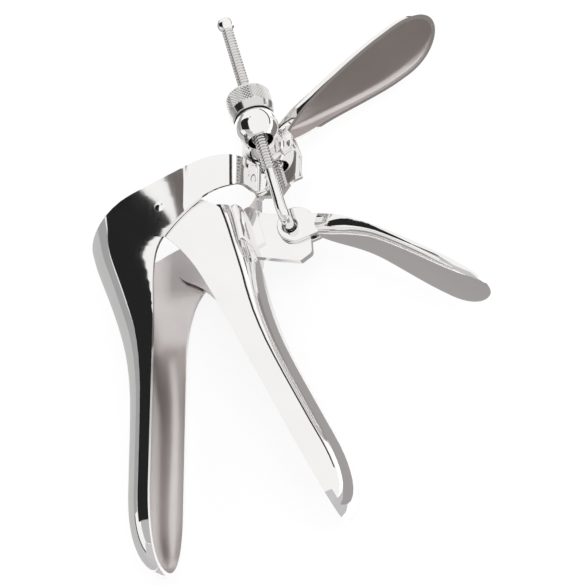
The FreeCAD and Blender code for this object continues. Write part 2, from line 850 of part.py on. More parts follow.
washer_hole = solid(
    "Cylinder",
    (0, 0, WASHER_FOOT - 1),
    Radius="Sizes.swivel_stem_radius",
    Height="Sizes.stem_washer_thickness + 2",
)
keep(cut(washer, washer_hole), "stem_washer", SWIVEL_FRAME)

BEND = size("screw_bend_radius")
HOOK_TOP = -LIFT - TONGUE_HALF - size("end_play")
HOOK_FOOT = HOOK_TOP - size("hook_washer_thickness")
leg = solid("Cylinder", (0, 0, HOOK_FOOT), Radius="Sizes.screw_core_radius")
leg.Height = -BEND - HOOK_FOOT
bend = solid(
    "Torus",
    (BEND, 0, -BEND),
    Rotation(Vector(1, 0, 0), 90).multiply(Rotation(Vector(0, 0, 1), 90)),
    Radius1="Sizes.screw_bend_radius",
    Radius2="Sizes.screw_core_radius",
)
bend.Angle3 = 90
plain = solid(
    "Cylinder",
    (BEND, 0, 0),
    ALONG_X,
    Radius="Sizes.screw_core_radius",
    Height="Sizes.plain_length - Sizes.screw_bend_radius",
)
thread = solid(
    "Cylinder",
    (size("plain_length"), 0, 0),
    ALONG_X,
    Radius="Sizes.thread_radius",
    Height="Sizes.screw_length - Sizes.plain_length",
)
keep(fused([leg, bend, plain, thread]), "adjusting_screw", SCREW_FRAME)

hook_disc = solid(
    "Cylinder",
    (0, 0, HOOK_FOOT),
    Radius="Sizes.hook_washer_radius",
    Height="Sizes.hook_washer_thickness",
)
hook_hole = solid(
    "Cylinder",
    (0, 0, HOOK_FOOT - 1),
    Radius="Sizes.screw_core_radius",
    Height="Sizes.hook_washer_thickness + 2",
)
keep(cut(hook_disc, hook_hole), "hook_washer", SCREW_FRAME)

SCREW_END = size("screw_length")
SOCKET = size("stop_socket_depth")
knob = solid("Sphere", (SCREW_END + size("stop_ball_radius") - SOCKET, 0, 0), Radius="Sizes.stop_ball_radius")
socket = solid(
    "Cylinder",
    (SCREW_END - 2 * SOCKET, 0, 0),
    ALONG_X,
    Radius="Sizes.thread_radius",
    Height="2 * Sizes.stop_socket_depth",
)
keep(cut(knob, socket), "screw_stop_ball", SCREW_FRAME)

NUT_START = size("nut_gap")
NUT_BAND = size("nut_band_height")
NUT_END = NUT_START + size("nut_height")
NUT_CHAMFER = size("nut_chamfer")
band = solid(
    "Cone",
    (NUT_START, 0, 0),
    ALONG_X,
    Radius1="Sizes.nut_radius - Sizes.nut_chamfer",
    Radius2="Sizes.nut_radius",
    Height="Sizes.nut_band_height",
)
grip = solid(
    "Cylinder",
    (NUT_START + NUT_BAND, 0, 0),
    ALONG_X,
    Radius="Sizes.nut_radius",
    Height="Sizes.nut_height - Sizes.nut_band_height - Sizes.nut_chamfer",
)
crown = solid(
    "Cone",
    (NUT_END - NUT_CHAMFER, 0, 0),
    ALONG_X,
    Radius1="Sizes.nut_radius",
    Radius2="Sizes.nut_radius - Sizes.nut_chamfer",
    Height="Sizes.nut_chamfer",
)
seat = solid("Sphere", (0, 0, 0), Radius="Sizes.swivel_ball_radius + Sizes.nut_seat_clearance")
nut_bore = solid(
    "Cylinder",
    (0, 0, 0),
    ALONG_X,
    Radius="Sizes.thread_radius + Sizes.thread_fit",
    Height="Sizes.nut_gap + Sizes.nut_height + 1",
)
keep(cut(fused([band, grip, crown]), fused([seat, nut_bore])), "knurled_nut", SWIVEL_FRAME)

doc.recompute()
for obj in doc.Objects:
    if any(word in ("Invalid", "Error") for word in obj.State):
        raise RuntimeError(f"{obj.Label} failed: {obj.State}")
for label, obj in NODES.items():
    shape = obj.Shape
    if shape.isNull() or not shape.isValid() or not shape.Solids:
        raise RuntimeError(f"{label} has no valid solid")
    box = shape.BoundBox
    print(f"{label:26s} solids {len(shape.Solids)} volume {shape.Volume:9.1f} mm3", end=" ")
    print(f"x {box.XMin:.1f}..{box.XMax:.1f} y {box.YMin:.1f}..{box.YMax:.1f} z {box.ZMin:.2f}..{box.ZMax:.2f}")
os.makedirs("parts", exist_ok=True)
for label, obj in NODES.items():
    obj.Shape.exportStep(f"parts/{label}.step")
print("screw drive angle", round(DRIVE_ANGLE % 360, 3), "eye", eye_at_rest)
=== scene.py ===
import logging
import math
from dataclasses import dataclass, field
from enum import Enum
from typing import Callable, Sequence

import bpy
import bmesh
from mathutils import Matrix, Vector


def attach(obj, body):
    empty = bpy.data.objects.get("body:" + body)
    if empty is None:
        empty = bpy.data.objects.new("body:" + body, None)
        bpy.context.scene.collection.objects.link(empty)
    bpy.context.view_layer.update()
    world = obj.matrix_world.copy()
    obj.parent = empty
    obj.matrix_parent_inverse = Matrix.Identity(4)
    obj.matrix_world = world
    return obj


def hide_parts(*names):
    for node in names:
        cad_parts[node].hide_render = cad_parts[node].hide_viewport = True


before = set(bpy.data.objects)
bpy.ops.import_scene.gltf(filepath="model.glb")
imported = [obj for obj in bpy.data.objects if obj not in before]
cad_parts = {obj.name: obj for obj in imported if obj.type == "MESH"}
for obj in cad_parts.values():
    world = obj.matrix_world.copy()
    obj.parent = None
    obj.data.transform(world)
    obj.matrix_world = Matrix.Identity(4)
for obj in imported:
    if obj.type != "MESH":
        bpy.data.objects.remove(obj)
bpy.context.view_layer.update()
LOG = logging.getLogger("speculum")
# A millimetre in metres. All other lengths are in millimetres.
MM = 0.001
# The pivot's middle above the floor, and the right valve's turn from the left one.
MID_HEIGHT = 18.95
OPENING = math.radians(26.7)
# The turn of the screw's axis, and its height above the pivot's middle.
DRIVE_ANGLE = math.radians(194.85)
DRIVE_LIFT = 9.0
# Heights of the hanging flags and of the sheets on the floor, from the pivot's middle.
CEILING = 239.0
FLOOR_SHEET = -18.9
# The width of the steel's faint smears.
SMEAR = 14.0
# Vertices closer than this are merged.
MERGE = 0.02
# The material slot of the faces that a cut leaves.
CUT_SLOT = 2
# How far from the pivot an outline clears the blades' noses, and the mouth on all sides.
PAST_NOSE = 105.0
PAST_BACK = 34.0
# Where the valves' ears have narrowed to the blade, and over what length they do.
WAIST_END = 32.0
WAIST_LENGTH = 24.0
Point = tuple[float, float]


class Finish(Enum):
    """The named finishes of the instrument."""

    MIRROR = "mirror polished stainless steel"
    SATIN = "satin ground stainless steel"
    KNURL = "knurled stainless steel"
    THREAD = "rolled thread stainless steel"


def linear(hex_code: str) -> tuple[float, float, float, float]:
    """Turns an sRGB hex colour to a linear one.

    Args:
        hex_code: six digits after a hash.

    Returns:
        Red, green, blue and alpha.
    """
    channels = [int(hex_code[place:place + 2], 16) / 255 for place in (1, 3, 5)]
    curved = [c / 12.92 if c <= 0.04045 else ((c + 0.055) / 1.055) ** 2.4 for c in channels]
    return (curved[0], curved[1], curved[2], 1.0)


def add_node(tree: bpy.types.NodeTree, kind: str, settings: dict, links: dict) -> bpy.types.Node:
    """Adds a node with its settings and links.

    Args:
        tree: the node tree.
        kind: the node's type name.
        settings: properties, or input values by socket name.
        links: input socket names to (node, output name).

    Returns:
        The node.
    """
    node = tree.nodes.new(kind)
    for name, value in settings.items():
        if name in node.inputs:
            node.inputs[name].default_value = value
        else:
            setattr(node, name, value)
    for name, (source, output) in links.items():
        tree.links.new(source.outputs[output], node.inputs[name])
    return node


def blank_material(name: str) -> bpy.types.Material:
    """Makes a material whose node tree is empty.

    Args:
        name: its name.

    Returns:
        The material.
    """
    made = bpy.data.materials.new(name)
    made.use_nodes = True
    made.node_tree.nodes.clear()
    return made


@dataclass(frozen=True)
class SteelFinish:
    """A surface finish of stainless steel.

    The colour is that of the metal and the shade that of its faint smears. grain_mm is the distance
    between grinding or polishing marks, relief_mm their depth and stretch their length over their width.
    """

    finish: Finish
    colour: str
    shade: str
    roughness: float
    roughness_spread: float
    grain_mm: float
    relief_mm: float
    stretch: float

    def material(self) -> bpy.types.Material:
        """Builds the material, once.

        Returns:
            The Blender material.
        """
        made = bpy.data.materials.get(self.finish.value)
        if made is not None:
            return made
        made = blank_material(self.finish.value)
        tree = made.node_tree
        place = add_node(tree, "ShaderNodeTexCoord", {}, {})
        longer = {"Scale": (1.0 / self.stretch, 1.0, 1.0)}
        stretched = add_node(tree, "ShaderNodeMapping", longer, {"Vector": (place, "Object")})
        fine = {"Scale": 1.0 / (self.grain_mm * MM), "Detail": 3.0, "Roughness": 0.6}
        marks = add_node(tree, "ShaderNodeTexNoise", fine, {"Vector": (stretched, "Vector")})
        wide = {"Scale": 1.0 / (SMEAR * MM), "Detail": 2.0}
        smears = add_node(tree, "ShaderNodeTexNoise", wide, {"Vector": (place, "Object")})
        tint = add_node(tree, "ShaderNodeMix", {"data_type": "RGBA"}, {"Factor": (smears, "Fac")})
        tint.inputs[6].default_value = linear(self.colour)
        tint.inputs[7].default_value = linear(self.shade)
        spread = self.roughness_spread
        limits = {"To Min": self.roughness - spread, "To Max": self.roughness + spread}
        gloss = add_node(tree, "ShaderNodeMapRange", limits, {"Value": (marks, "Fac")})
        height = {"Strength": 1.0, "Distance": self.relief_mm * MM}
        relief = add_node(tree, "ShaderNodeBump", height, {"Height": (marks, "Fac")})
        steel = add_node(
            tree,
            "ShaderNodeBsdfPrincipled",
            {"Metallic": 1.0},
            {"Roughness": (gloss, "Result"), "Normal": (relief, "Normal")},
        )
        tree.links.new(tint.outputs[2], steel.inputs["Base Color"])
        add_node(tree, "ShaderNodeOutputMaterial", {}, {"Surface": (steel, "BSDF")})
        return made


# Stainless steel, buffed to a mirror on the outside: bright, faintly warm, almost no marks.
MIRROR = SteelFinish(Finish.MIRROR, "#f6f5f4", "#efeeed", 0.045, 0.02, 0.8, 0.0004, 6.0)
# The hollow sides are left as they come from the satin wheel: soft grey, slightly warm.
SATIN = SteelFinish(Finish.SATIN, "#dcd7d5", "#c9c2c0", 0.3, 0.05, 0.35, 0.004, 12.0)
# The nut's knurl is cut, and its small faces are bright.
KNURLED = SteelFinish(Finish.KNURL, "#e2e1df", "#d2d0ce", 0.16, 0.04, 0.6, 0.001, 2.0)
# The thread is rolled: smooth and bright on its crests.
THREADED = SteelFinish(Finish.THREAD, "#e4e3e1", "#d0cecc", 0.13, 0.03, 0.6, 0.001, 2.0)
# A sheet's outside, its hollow and its rim, in the order of its material slots.
SHEET_FINISHES = (MIRROR, SATIN, MIRROR)


def deselect() -> None:
    """Leaves edit mode and deselects every object."""
    if bpy.context.object is not None and bpy.context.object.mode != "OBJECT":
        bpy.ops.object.mode_set(mode="OBJECT")
    bpy.ops.object.select_all(action="DESELECT")


def activate(*pieces: bpy.types.Object) -> None:
    """Selects only these pieces and makes the last one active.

    Args:
        pieces: the pieces, one or more.
    """
    deselect()
    for piece in pieces:
        piece.select_set(True)
        bpy.context.view_layer.objects.active = piece


def enter(piece: bpy.types.Object) -> None:
    """Makes a piece the only selected one and edits it."""
    activate(piece)
    bpy.ops.object.mode_set(mode="EDIT")


def leave() -> None:
    """Leaves edit mode."""
    bpy.ops.object.mode_set(mode="OBJECT")


def dress(piece: bpy.types.Object, finishes: Sequence[SteelFinish]) -> None:
    """Gives a piece one more material slot for each finish."""
    for finish in finishes:
        piece.data.materials.append(finish.material())


def settle(piece: bpy.types.Object) -> None:
    """Puts a piece's place and turn into its mesh, which leaves its origin at the frame's."""
    activate(piece)
    bpy.ops.object.transform_apply(location=True, rotation=True, scale=True)


def face_outwards() -> None:
    """Turns all faces of the edited mesh outwards."""
    bpy.ops.mesh.select_all(action="SELECT")
    bpy.ops.mesh.normals_make_consistent(inside=False)


def choose(piece: bpy.types.Object, kind: str, test: Callable[..., bool]) -> None:
    """Selects the parts of an edited mesh that pass a test.

    Args:
        piece: the piece in edit mode.
        kind: VERT, EDGE or FACE.
        test: takes a vertex, edge or face.
    """
    bpy.ops.mesh.select_mode(type=kind)
    bpy.ops.mesh.select_all(action="DESELECT")
    mesh = bmesh.from_edit_mesh(piece.data)
    parts = {"VERT": mesh.verts, "EDGE": mesh.edges, "FACE": mesh.faces}[kind]
    parts.index_update()
    for part in parts:
        if test(part):
            part.select_set(True)
    mesh.select_flush_mode()
    bmesh.update_edit_mesh(piece.data)


def place_vertices(piece: bpy.types.Object, order: Sequence[int], places: Sequence[Sequence[float]]) -> None:
    """Moves vertices of an edited piece to their places, one after the other.

    Args:
        piece: the piece in edit mode.
        order: the numbers of its vertices.
        places: where each goes, in millimetres.
    """
    for index, place in zip(order, places):
        bpy.ops.mesh.select_all(action="DESELECT")
        mesh = bmesh.from_edit_mesh(piece.data)
        mesh.verts.ensure_lookup_table()
        vert = mesh.verts[index]
        vert.select_set(True)
        here = vert.co / MM
        bpy.ops.transform.translate(value=tuple((new - old) * MM for new, old in zip(place, here)))


def apply_modifier(piece: bpy.types.Object, kind: str, settings: dict) -> None:
    """Adds a modifier to a piece and applies it.

    Args:
        piece: the piece.
        kind: the modifier's type name.
        settings: its properties.
    """
    activate(piece)
    modifier = piece.modifiers.new(kind.title(), kind)
    for name, value in settings.items():
        setattr(modifier, name, value)
    bpy.ops.object.modifier_apply(modifier=modifier.name)


def bevel(piece: bpy.types.Object, width: float, angle: float) -> None:
    """Rounds a piece's edges that are sharper than an angle in degrees."""
    limit = {"limit_method": "ANGLE", "angle_limit": math.radians(angle), "use_clamp_overlap": True}
    apply_modifier(piece, "BEVEL", limit | {"width": width * MM, "segments": 3})


def finish_piece(
    piece: bpy.types.Object,
    name: str,
    finishes: Sequence[SteelFinish],
    body: str,
    nodes: Sequence[str],
    smooth_angle: float = 35.0,
) -> None:
    """Names, dresses and mounts a modelled piece.

    Args:
        piece: the piece.
        name: its name.
        finishes: one finish for each material slot of its faces.
        body: the moving body that it rides on.
        nodes: the solids that it stands for.
        smooth_angle: sharper edges than this stay sharp, in degrees.
    """
    piece.name = name
    piece.data.name = name
    # A piece that has its slots keeps them, because emptying them would reset its faces to the first.
    if len(piece.data.materials) != len(finishes):
        piece.data.materials.clear()
        dress(piece, finishes)
    settle(piece)
    bpy.ops.object.shade_smooth_by_angle(angle=math.radians(smooth_angle))
    # Large flats keep their own direction up to the rounded rim, so that they mirror cleanly.
    apply_modifier(piece, "WEIGHTED_NORMAL", {"mode": "FACE_AREA", "weight": 50, "keep_sharp": True})
    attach(piece, body)
    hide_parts(*nodes)
    LOG.info("%s: %d faces on %s", name, len(piece.data.polygons), body)


def smooth_step(value: float) -> float:
    """A step from 0 to 1 that starts and ends level."""
    value = min(1.0, max(0.0, value))
    return value * value * (3 - 2 * value)


def curve_through(points: Sequence[Point], value: float) -> float:
    """Reads a smooth curve through points at a place along their first coordinate.

    Args:
        points: places and values, in rising order of place.
        value: the place.

    Returns:
        The curve's value there.
    """
    value = min(max(value, points[0][0]), points[-1][0])
    for index in range(len(points) - 1):
        if value <= points[index + 1][0]:
            break
    (x0, y0), (x1, y1) = points[index], points[index + 1]

    def slope(place: int) -> float:
        """The slope of the curve at one of its points."""
        low, high = max(place - 1, 0), min(place + 1, len(points) - 1)
        return (points[high][1] - points[low][1]) / (points[high][0] - points[low][0])

    span = x1 - x0
    share = (value - x0) / span
    start, end = slope(index) * span, slope(index + 1) * span
    return (
        y0 * (1 + 2 * share) * (1 - share) ** 2
        + start * share * (1 - share) ** 2
        + y1 * share ** 2 * (3 - 2 * share)
        + end * share ** 2 * (share - 1)
    )


def smooth_line(points: Sequence[Point], steps: int) -> list[Point]:
    """A smooth line through points, with a few steps between each two.

    Args:
        points: the points.
        steps: how many pieces each stretch is divided into.

    Returns:
        The finer line.
    """
    line = []
    last = len(points) - 1
    for index in range(last):
        before, start = points[max(index - 1, 0)], points[index]
        end, after = points[index + 1], points[min(index + 2, last)]
        for step in range(steps):
            t = step / steps
            place = []
            for a, b, c, d in zip(before, start, end, after):
                twice = 2 * b + (c - a) * t
                twice += (2 * a - 5 * b + 4 * c - d) * t * t
                twice += (3 * b - a - 3 * c + d) * t ** 3
                place.append(0.5 * twice)
            line.append((place[0], place[1]))
    return line + [points[-1]]


def prism(outline: Sequence[Point], low: float, high: float, name: str) -> bpy.types.Object:
    """A flat plate of any outline, between two heights, in millimetres.

    Args:
        outline: the corners, anticlockwise.
        low: the lower face.
        high: the upper face.
        name: the piece's name.

    Returns:
        The plate.
    """
    deselect()
    bpy.ops.mesh.primitive_circle_add(vertices=len(outline), radius=1.0, fill_type="NGON")
    piece = bpy.context.object
    piece.name = name
    enter(piece)
    mesh = bmesh.from_edit_mesh(piece.data)
    mesh.verts.ensure_lookup_table()
    ordered = sorted(mesh.verts, key=lambda v: math.atan2(v.co.y, v.co.x) % (2 * math.pi))
    order = [vert.index for vert in ordered]
    place_vertices(piece, order, [(x, y, low) for x, y in outline])
    bpy.ops.mesh.select_all(action="SELECT")
    bpy.ops.mesh.extrude_region_move(TRANSFORM_OT_translate={"value": (0, 0, (high - low) * MM)})
    face_outwards()
    leave()
    return piece


def cut(piece: bpy.types.Object, tool: bpy.types.Object, operation: str = "DIFFERENCE") -> None:
    """Cuts a tool from a piece, or cuts the piece to what both share, and uses up the tool."""
    apply_modifier(piece, "BOOLEAN", {"operation": operation, "object": tool, "solver": "EXACT"})
    bpy.data.objects.remove(tool, do_unlink=True)


@dataclass
class FormedSheet:
    """A pressed sheet: a unit section drawn along its length, cut to its rim and given a wall.

    Sizes are in millimetres, in the sheet's own frame: X along it, depth away from the rim. An empty
    outline leaves the sheet uncut. The points above are those of its sides between rim and back.
    """

    name: str
    wall: float
    stations: list[float]
    nose_length: float
    width_at: Callable[[float], float]
    flat_at: Callable[[float], float]
    depth_at: Callable[[float], float]
    rim_at: Callable[[float], float]
    side: int
    power: float
    outline: list[Point]
    above: list[Point] = field(default_factory=list)
    columns: int = 28
    nose_rows: int = 12
    nose_power: float = 2.0
    nose_end: float = 0.001
    rim_bevel: float = 0.5
    block_half: float = 40.0

    def section(self) -> list[Point]:
        """The back's columns: depth from 0 to 1 to 0, and height from 1 at the near side to -1.

        Returns:
            One point for each column.
        """
        level = 0.45
        # The corner is set so that the curve passes through its superellipse at the first knot.
        knot_depth = 0.75 + level / 4
        knot_width = (1 - knot_depth ** self.power) ** (1 / self.power)
        corner = (knot_width - 0.25) * 12 / 7
        half = [(0.0, 1.0), (level, 1.0), (1.0, corner)]
        control = half + [(1.0, 0.0)] + [(down, -across) for down, across in reversed(half)]
        return control_line(control, self.columns)

    def rows(self) -> list[tuple[float, float]]:
        """Place of each row along the sheet, and how much the nose shrinks it.

        Returns:
            Station and share.
        """
        rows = [(station, 1.0) for station in self.stations]
        start = self.stations[-1]
        for step in range(1, self.nose_rows + 1):
            turn = math.radians(90) * step / self.nose_rows
            share = max(0.0, 1 - math.sin(turn) ** self.nose_power) ** (1 / self.nose_power)
            rows.append((start + self.nose_length * math.sin(turn), max(share, self.nose_end)))
        return rows

    def sheet(self) -> bpy.types.Object:
        """Shapes a flat grid into the sheet, column by column and then row by row.

        Returns:
            The sheet without thickness.
        """
        rows = self.rows()
        extra = len(self.above)
        section = self.section()
        closing = 1 if self.outline else 0
        count = len(section) + 2 * extra + closing
        deselect()
        bpy.ops.mesh.primitive_grid_add(x_subdivisions=len(rows) - 1, y_subdivisions=count - 1, size=2.0)
        piece = bpy.context.object
        enter(piece)
        mesh = bmesh.from_edit_mesh(piece.data)
        places = sorted(mesh.verts, key=lambda v: (round(v.co.x, 6), round(-v.co.y, 6)))
        order = [vert.index for vert in places]
        shape = [(-p, h) for p, h in self.above] + section + [(-p, -h) for p, h in reversed(self.above)]
        if self.outline:
            shape.append(shape[0])
        for column in range(count):
            self.select([order[row * count + column] for row in range(len(rows))], piece)
            y = 1.0 - 2.0 * column / (count - 1)
            depth, height = shape[column]
            bpy.ops.transform.translate(value=(0, depth - y, height))
        back = range(extra, extra + len(section))
        for row, (station, share) in enumerate(rows):
            x = -1.0 + 2.0 * row / (len(rows) - 1)
            where = min(station, self.stations[-1])
            width, flat = self.width_at(where), self.flat_at(where)
            self.select([order[row * count + column] for column in back], piece)
            span = self.depth_at(where) - flat
            bpy.ops.transform.resize(value=(1, span, width), center_override=(x, 0, 0))
            bpy.ops.transform.translate(value=(0, flat, 0))
            if extra:
                sides = [c for c in range(count) if c not in back]
                self.select([order[row * count + column] for column in sides], piece)
                bpy.ops.transform.resize(value=(1, 1, width), center_override=(x, 0, 0))
            self.select([order[row * count + column] for column in range(count)], piece)
            bpy.ops.transform.resize(value=(1, share, share), center_override=(x, 0, 0))
            bpy.ops.transform.translate(value=(station - x, 0, 0))
            if self.side < 0:
                bpy.ops.transform.resize(value=(1, -1, 1), center_override=(station, 0, 0))
            bpy.ops.transform.translate(value=(0, self.rim_at(station), 0))
        bpy.ops.mesh.select_all(action="SELECT")
        bpy.ops.transform.resize(value=(MM, MM, MM), center_override=(0, 0, 0))
        bpy.ops.mesh.remove_doubles(threshold=MERGE * MM)
        if self.outline:
            bpy.ops.mesh.fill_holes(sides=0)
        bpy.ops.mesh.normals_make_consistent(inside=False)
        leave()
        return piece

    def trim(self, piece: bpy.types.Object) -> None:
        """Cuts the closed form to its outline and opens it where it was cut.

        Args:
            piece: the closed form.
        """
        block = prism(self.outline, -self.block_half, self.block_half, "Outline")
        dress(block, SHEET_FINISHES)
        for face in block.data.polygons:
            face.material_index = CUT_SLOT
        cut(piece, block, "INTERSECT")
        enter(piece)
        choose(piece, "FACE", lambda face: face.material_index == CUT_SLOT)
        bpy.ops.mesh.delete(type="FACE")
        leave()

    def select(self, indices: Sequence[int], piece: bpy.types.Object) -> None:
        """Selects vertices by their number.

        Args:
            indices: their numbers.
            piece: the grid in edit mode.
        """
        bpy.ops.mesh.select_all(action="DESELECT")
        mesh = bmesh.from_edit_mesh(piece.data)
        mesh.verts.ensure_lookup_table()
        for index in indices:
            mesh.verts[index].select = True
        mesh.select_flush_mode()

    def outward(self, piece: bpy.types.Object) -> None:
        """Turns the sheet's faces outwards, away from its hollow.

        Args:
            piece: the sheet.
        """
        mesh = piece.data
        middle = sum((p.center for p in mesh.polygons), Vector()) / len(mesh.polygons)
        deepest = max(mesh.polygons, key=lambda p: self.side * (p.center.y - middle.y))
        if deepest.normal.y * self.side < 0:
            enter(piece)
            bpy.ops.mesh.select_all(action="SELECT")
            bpy.ops.mesh.flip_normals()
            leave()

    def build(self) -> bpy.types.Object:
        """Makes the finished sheet: cut to its outline, thickened inwards, its rim rounded.

        Returns:
            The piece, its outer faces in slot 0 and its hollow in slot 1.
        """
        piece = self.sheet()
        dress(piece, SHEET_FINISHES)
        if self.outline:
            self.trim(piece)
        self.outward(piece)
        apply_modifier(
            piece,
            "SOLIDIFY",
            {
                "thickness": self.wall * MM,
                "offset": -1.0,
                "use_even_offset": True,
                "material_offset": 1,
                "material_offset_rim": 2,
            },
        )
        bevel(piece, self.rim_bevel, 50)
        return piece


def control_line(control: Sequence[Point], steps: int) -> list[Point]:
    """Points on a cubic B-spline that starts at its first control point and ends at its last.

    Args:
        control: the control points, four or more.
        steps: how many pieces the curve is divided into.

    Returns:
        The points.
    """
    spans = len(control) - 3
    knots = [0.0] * 3 + [float(k) for k in range(spans + 1)] + [float(spans)] * 3
    line = []
    for step in range(steps + 1):
        place = min(spans * step / steps, spans - 1e-9)
        span = int(place) + 3
        work = [Vector(control[span - 3 + k]) for k in range(4)]
        for level in range(1, 4):
            for k in range(3, level - 1, -1):
                low = knots[span - 3 + k]
                high = knots[span + 1 + k - level]
                share = (place - low) / (high - low)
                work[k] = work[k - 1] * (1 - share) + work[k] * share
        line.append((work[3].x, work[3].y))
    return line


def waist(station: float) -> float:
    """How much a place belongs to the ears: 1 over them, 0 along the blade."""
    return smooth_step((WAIST_END - station) / WAIST_LENGTH)


def turned(angle: float, place: Sequence[float] = (0.0, 0.0), height: float = MID_HEIGHT) -> Matrix:
    """A frame turned about the pivot direction, in metres, from millimetres."""
    spot = Vector((place[0], place[1], height)) * MM
    return Matrix.Translation(spot) @ Matrix.Rotation(angle, 4, "Z")


@dataclass
class Valve:
    """What both valves share: a blade that widens over the ears and flares to the mouth."""

    ear: float
    rim: float
    ear_flat: float
    depth: float
    mouth_depth: float
    side: int
    blade: float = 15.0
    wall: float = 1.2
    nose_length: float = 22.0
    power: float = 2.4
    flare: tuple[Point, ...] = (
        (-34, 1.30), (0, 1.0), (10, 0.83), (20, 0.57), (30, 0.33), (40, 0.14), (52, 0.03), (78.5, 0.0),
    )

    def back(self, station: float) -> float:
        """Depth of the back, which flares to the mouth."""
        return self.depth + (self.mouth_depth - self.depth) * curve_through(self.flare, station)

    def lead(self, station: float) -> float:
        """How much of the ears' width a station has."""
        return waist(station)

    def form(
        self, name: str, stations: list[float], outline: list[Point], above: list[Point]
    ) -> bpy.types.Object:
        """Makes the valve's sheet.

        Args:
            name: its name.
            stations: the places of its rows.
            outline: the outline it is cut to.
            above: the points of its sides.

        Returns:
            The piece, in the valve's own frame.
        """
        sheet = FormedSheet(
            name=name,
            wall=self.wall,
            stations=stations,
            nose_length=self.nose_length,
            nose_power=self.power,
            width_at=lambda s: self.blade + (self.ear - self.blade) * self.lead(s),
            flat_at=lambda s: (self.ear_flat - self.rim) * waist(s),
            depth_at=self.back,
            rim_at=lambda s: self.side * self.rim,
            side=self.side,
            power=self.power,
            outline=outline,
            above=above,
        )
        return sheet.build()


@dataclass
class MouthRingValve(Valve):
    """The left valve, whose two straps close a ring."""

    ear: float = 19.0
    rim: float = 2.5
    ear_flat: float = 8.5
    depth: float = 8.8
    mouth_depth: float = 23.0
    side: int = -1
    tab_half: float = 2.2
    crown: float = 22.5
    setback: float = 8.6
    tilt: float = 22.8
    mouth_curl: float = 0.02
    mouth_straight: float = -8.0
    strap_edge: tuple[Point, ...] = (
        (-16.0, 27.4), (-11.4, 26.1), (-9.8, 23.6), (-9.2, 21.4), (-6.9, 18.9),
        (-1.7, 12.2), (5.8, 4.0), (12.5, -0.6), (21.0, -2.2), (30.0, -2.5),
    )

    def mouth(self, along: float) -> float:
        """Where the mouth's edge is in the side view: straight, and curled in towards the back."""
        plane = -self.setback - math.tan(math.radians(self.tilt)) * along
        return plane + self.mouth_curl * max(0.0, self.mouth_straight - along) ** 2

    def ring(self) -> list[Point]:
        """The ring beyond the ear: strap tab, turn-in and crown.

        Returns:
            Place from the rim and share of the ear's width, from the tab on.
        """
        rise = self.ear - self.tab_half
        crown, tab = self.crown, self.tab_half
        control = [(27.0, tab), (25.6, tab), (crown + 1.0, tab), (crown + 0.2, tab + 0.12 * rise)]
        control += [(crown - 1.3, tab + 0.50 * rise), (crown - 5.1, tab + 0.83 * rise)]
        control += [(crown - 10.5, self.ear), (self.ear_flat - 1.0, self.ear)]
        line = control_line(control, 26) + [(self.ear_flat - 2.0, self.ear)]
        return [(place + self.rim, height / self.ear) for place, height in line]

    def build(self) -> None:
        """Makes the valve and mounts it."""
        outline = smooth_line(self.strap_edge, 5)
        outline += [(PAST_NOSE, -self.rim), (PAST_NOSE, -PAST_BACK)]
        outline += [(self.mouth(along), along) for along in range(-int(PAST_BACK), 1, 2)]
        outline += [(self.mouth(PAST_BACK), PAST_BACK), (self.strap_edge[0][0], PAST_BACK)]
        stations = [-34, -30, -26, -22, -18, -14, *range(-11, 35, 3), 38, 42, 47, 52, 58, 64, 71, 78.5]
        piece = self.form("left_valve_sheet", stations, outline, self.ring())
        piece.matrix_world = turned(0.0)
        finish_piece(piece, "left_valve_sheet", SHEET_FINISHES, "left_body", ("left_valve",))


@dataclass
class NestedValve(Valve):
    """The right valve, whose two round ears swing inside the ring."""

    ear: float = 17.7
    rim: float = 0.8
    ear_flat: float = 5.3
    depth: float = 9.6
    mouth_depth: float = 18.6
    side: int = 1
    ear_radius: float = 7.0
    mouth_edge: float = 6.2
    edge: tuple[Point, ...] = ((32.0, 0.8), (20.0, 0.2), (10.0, -2.2), (4.0, -5.6))

    def lead(self, station: float) -> float:
        """How much of the ears' width a station has: it narrows a little sooner than the ring."""
        return waist(station + 4.0 * waist(station))

    def outline(self) -> list[Point]:
        """The side outline: blade, rim, round ear and mouth edge.

        Returns:
            Its corners, anticlockwise.
        """
        ear = arc(self.ear_radius, (0, 0), -55, -266, 20)
        mouth = [(self.mouth_edge, 2 * self.ear_radius - 0.5), (self.mouth_edge, PAST_BACK)]
        return smooth_line(self.edge, 6)[:-1] + ear + mouth + [(PAST_NOSE, PAST_BACK), (PAST_NOSE, self.rim)]

    def build(self) -> None:
        """Makes the valve and mounts it."""
        stations = [*range(-10, 33, 3), 36, 40, 45, 50, 56, 62, 70, 78.5]
        above = [(12.0, 1.0), (8.0, 1.0), (4.0, 1.0), (1.5, 1.0)]
        piece = self.form("right_valve_sheet", stations, self.outline(), above)
        piece.matrix_world = turned(OPENING)
        finish_piece(piece, "right_valve_sheet", SHEET_FINISHES, "right_body", ("right_valve",))


